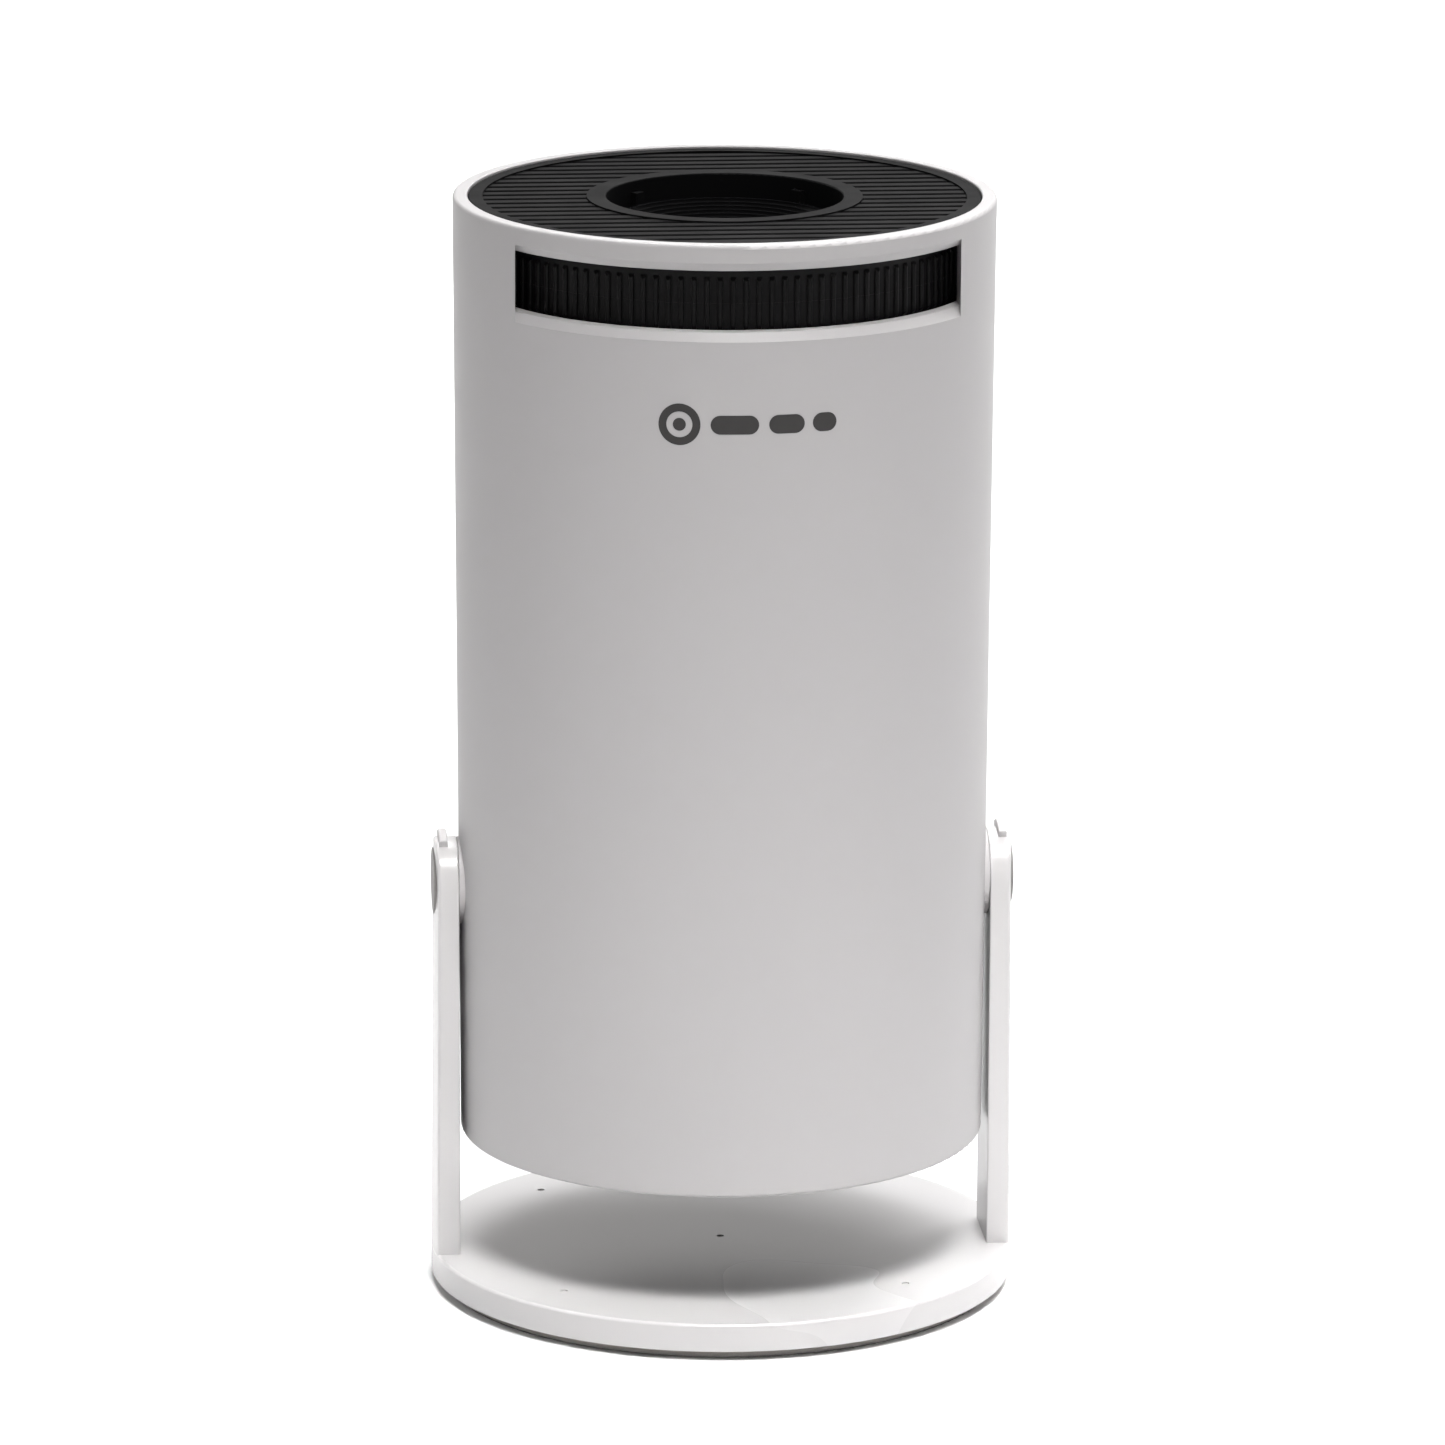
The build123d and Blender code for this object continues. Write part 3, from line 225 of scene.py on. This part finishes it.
def painted_white():
    """Fine-textured white paint."""
    finish = Finish("painted_white", (0.445, 0.435, 0.438), 0.48)
    finish.bump(finish.noise(2600.0, 3.0), 0.10, 0.00004)
    finish.vary_roughness(finish.noise(14.0), 0.46, 0.50)
    return finish.material


def glossy_white():
    """Lacquered white of the stand."""
    coat = {"Coat_Weight": 0.15, "Coat_Roughness": 0.12}
    finish = Finish("glossy_white", (0.655, 0.645, 0.648), 0.26, **coat)
    finish.bump(finish.noise(2200.0, 2.0), 0.04, 0.00001)
    finish.vary_roughness(finish.noise(12.0), 0.25, 0.28)
    return finish.material


def painted_shade_white():
    """White of the hinge bosses and the keys over them, duller than the stand's and a little
    darker: the darker colour is painted shade that tones them down against the arms' highlight.
    """
    finish = Finish("painted_shade_white", (0.60, 0.585, 0.588), 0.45, IOR=1.4)
    finish.bump(finish.noise(2400.0, 2.0), 0.06, 0.00002)
    finish.vary_roughness(finish.noise(12.0), 0.43, 0.48)
    return finish.material


def satin_black():
    """Dull black of the slatted front, the rear cover and the mouldings inside."""
    dull = {"IOR": 1.12, "Specular_IOR_Level": 0.2}
    finish = Finish("satin_black", (0.006, 0.006, 0.0064), 0.5, **dull)
    finish.bump(finish.noise(3200.0, 2.0), 0.2, 0.00003)
    finish.vary_roughness(finish.noise(90.0), 0.46, 0.54)
    return finish.material


def hood_black():
    """Polished black of the lens barrel and its stepped hood."""
    finish = Finish("hood_black", (0.006, 0.006, 0.0065), 0.16, IOR=1.5)
    finish.vary_roughness(finish.noise(300.0), 0.14, 0.20)
    return finish.material


def ring_black():
    """Black of the ribbed focus ring and the power button."""
    finish = Finish("ring_black", (0.0085, 0.0085, 0.009), 0.38, IOR=1.25)
    finish.bump(finish.noise(2600.0, 2.0), 0.2, 0.00003)
    finish.vary_roughness(finish.noise(120.0), 0.34, 0.46)
    return finish.material


def grey_rubber():
    finish = Finish("grey_rubber", (0.23, 0.215, 0.205), 0.7, IOR=1.4)
    finish.bump(finish.noise(1800.0, 3.0), 0.3, 0.00006)
    finish.vary_roughness(finish.noise(150.0), 0.65, 0.78)
    return finish.material


def cap_grey():
    """Grey discs in the hinges' outer faces."""
    finish = Finish("cap_grey", (0.21, 0.20, 0.195), 0.5, IOR=1.4)
    finish.bump(finish.noise(2000.0, 3.0), 0.2, 0.00003)
    finish.vary_roughness(finish.noise(180.0), 0.46, 0.56)
    return finish.material


def grey_print():
    """Dark grey pad-printed ink."""
    finish = Finish("grey_print", (0.045, 0.043, 0.043), 0.5, IOR=1.3)
    finish.vary_roughness(finish.noise(500.0), 0.46, 0.56)
    return finish.material


def steel():
    """Turned steel, with its grain round the length."""
    finish = Finish("steel", (0.56, 0.56, 0.57), 0.3, Metallic=1.0)
    finish.bump(finish.noise(900.0, 2.0, (1, 1, 12)), 0.1, 0.00004)
    finish.vary_roughness(finish.noise(400.0), 0.24, 0.40)
    return finish.material


def aluminium():
    finish = Finish("aluminium", (0.80, 0.81, 0.82), 0.35, Metallic=1.0)
    finish.bump(finish.noise(500.0, 2.0, (1, 1, 20)), 0.15, 0.00004)
    finish.vary_roughness(finish.noise(200.0), 0.28, 0.45)
    return finish.material


def clear_glass():
    finish = Finish("clear_glass", (0.93, 0.96, 0.97), 0.02, Transmission_Weight=1.0, IOR=1.52)
    finish.vary_roughness(finish.noise(40.0), 0.01, 0.03)
    return finish.material


def panel_glass():
    finish = Finish("panel_glass", (0.05, 0.055, 0.07), 0.08)
    finish.vary_roughness(finish.noise(50.0), 0.06, 0.12)
    return finish.material


def natural_acetal():
    """Off-white of the hinge bushes, whose plastic has no pigment."""
    finish = Finish("natural_acetal", (0.66, 0.64, 0.58), 0.4)
    finish.vary_roughness(finish.noise(200.0), 0.34, 0.48)
    return finish.material


def light_pipe():
    """Milky plastic over the indicator."""
    finish = Finish("light_pipe", (0.75, 0.80, 0.84), 0.3)
    finish.vary_roughness(finish.noise(300.0), 0.25, 0.40)
    return finish.material


def circuit_board():
    """Green board with lighter patches of copper under its lacquer."""
    finish = Finish("circuit_board", (0.015, 0.10, 0.045), 0.35)
    patches = finish.spread(finish.noise(700.0, 1.0), 0.0, 1.0, given=(0.45, 0.55))
    finish.vary_color(patches, (0.03, 0.16, 0.07))
    finish.bump(finish.noise(700.0, 1.0), 0.2, 0.00008)
    return finish.material


MAKERS = {
    "white_matte": painted_white,
    "white_gloss": glossy_white,
    "black_plastic": satin_black,
    "ring_black": ring_black,
    "grey_rubber": grey_rubber,
    "bush_plastic": natural_acetal,
    "steel": steel,
    "aluminium": aluminium,
    "clear_glass": clear_glass,
    "panel_glass": panel_glass,
    "light_pipe": light_pipe,
    "circuit_board": circuit_board,
}


def finish_cad_nodes():
    """Give every CAD node the procedural material of its slot, or its own where it has one."""
    made = {slot: maker() for slot, maker in MAKERS.items()}
    # The bosses and keys get a darker copy of the stand's white, as painted shade, and the grey
    # of the caps
    boss, cap = painted_shade_white(), cap_grey()
    own = {"lens_barrel": hood_black()}
    for side in ("left", "right"):
        own[side + "_hinge_cap"] = cap
        for piece in ("crown_key", "pivot_hub"):
            own[f"{side}_{piece}"] = boss
    for part in frame["record"]["subparts"]:
        mesh = frame["nodes"][part["node"]].data
        mesh.materials.clear()
        mesh.materials.append(own.get(part["node"], made[part["material_slot"]]))


# ---- printed mark ---------------------------------------------------------------------

# All in millimetres, along the tube's girth from its front and up from the floor. The ink stands
# a little proud of the tube and reaches a little into it.
PRINT_HEIGHT = 192.0
PRINT_RISE = 0.03
PRINT_SINK = 0.05
# Middle and width of each bar beside the ring
PRINT_BARS = [(-2.6, 9.6), (7.8, 7.2), (15.6, 5.0)]
PRINT_BAR_HALF = 1.9
RING_MIDDLE = -13.6
RING_RADII = (2.6, 4.2)
DOT_RADIUS = 1.3
# How much less the tube's radius is at its bottom than at its top
TUBE_TAPER = 1.2

RING_STEPS = 64
BAR_STEPS = 36
# A bar's very ends keep this half height, so that no face shrinks to a line
LEAST_REACH = 0.02


def tube_radius(height):
    """Radius of the tapered tube at this height, both in millimetres."""
    low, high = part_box("outer_tube")
    bottom, top = low[2] / MM, high[2] / MM
    top_radius = high[0] / MM
    bottom_radius = top_radius - TUBE_TAPER
    share = (height - bottom) / (top - bottom)
    return bottom_radius + (top_radius - bottom_radius) * share


def on_tube(along, height, rise):
    """Point on the tube's front, along its girth and up, in millimetres."""
    radius = tube_radius(height)
    angle = -math.pi / 2 + along / radius
    out = radius + rise
    return Vector((out * math.cos(angle), out * math.sin(angle), height)) * MM


def add_band(shape, first, second, closed):
    """Closed thin strip between two rows of (along, height) points, wrapped on the tube."""
    corners = []
    for start, end in zip(first, second):
        corners.append([
            shape.verts.new(on_tube(*start, PRINT_RISE)),
            shape.verts.new(on_tube(*end, PRINT_RISE)),
            shape.verts.new(on_tube(*end, -PRINT_SINK)),
            shape.verts.new(on_tube(*start, -PRINT_SINK)),
        ])
    count = len(corners)
    for index in range(count if closed else count - 1):
        here = corners[index]
        there = corners[(index + 1) % count]
        for side in range(4):
            other = (side + 1) % 4
            shape.faces.new((here[side], here[other], there[other], there[side]))
    if not closed:
        shape.faces.new(reversed(corners[0]))
        shape.faces.new(corners[-1])


def circle_points(middle, radius):
    turns = (2 * math.pi * index / RING_STEPS for index in range(RING_STEPS))
    return [(middle + radius * math.cos(t), PRINT_HEIGHT + radius * math.sin(t)) for t in turns]


def add_bar(shape, middle, width, half):
    """Bar with round ends, as upright slices along the girth."""
    upper, lower = [], []
    for index in range(BAR_STEPS + 1):
        along = -width / 2 * math.cos(math.pi * index / BAR_STEPS)
        over = max(0.0, abs(along) - (width / 2 - half))
        reach = max(LEAST_REACH, math.sqrt(max(0.0, half * half - over * over)))
        upper.append((middle + along, PRINT_HEIGHT + reach))
        lower.append((middle + along, PRINT_HEIGHT - reach))
    add_band(shape, upper, lower, False)


def make_print():
    """A plain ring, a dot and three bars printed on the front of the tube."""
    mesh = bpy.data.meshes.new("front_print")
    shape = bmesh.new()
    inner, outer = (circle_points(RING_MIDDLE, radius) for radius in RING_RADII)
    add_band(shape, inner, outer, True)
    add_bar(shape, RING_MIDDLE, 2 * DOT_RADIUS, DOT_RADIUS)
    for middle, width in PRINT_BARS:
        add_bar(shape, middle, width, PRINT_BAR_HALF)
    bmesh.ops.recalc_face_normals(shape, faces=shape.faces)
    shape.to_mesh(mesh)
    shape.free()
    mesh.materials.append(grey_print())
    mark = bpy.data.objects.new("front_print", mesh)
    bpy.context.scene.collection.objects.link(mark)
    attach(mark, "projector")


# ---- floor and scene ------------------------------------------------------------------

FLOOR_REACH = 6.0
FLOOR_WHITE = (0.92, 0.92, 0.92)


def make_floor():
    mesh = bpy.data.meshes.new("floor")
    shape = bmesh.new()
    bmesh.ops.create_grid(shape, x_segments=1, y_segments=1, size=FLOOR_REACH)
    shape.to_mesh(mesh)
    shape.free()
    floor = bpy.data.objects.new("floor", mesh)
    bpy.context.scene.collection.objects.link(floor)
    finish = Finish("pale_floor", FLOOR_WHITE, 0.8)
    finish.vary_roughness(finish.noise(3.0), 0.75, 0.85)
    mesh.materials.append(finish.material)


make_camera()
make_floor()
make_lights()
make_world()
bpy.context.scene.view_settings.view_transform = "Standard"
finish_cad_nodes()
make_print()
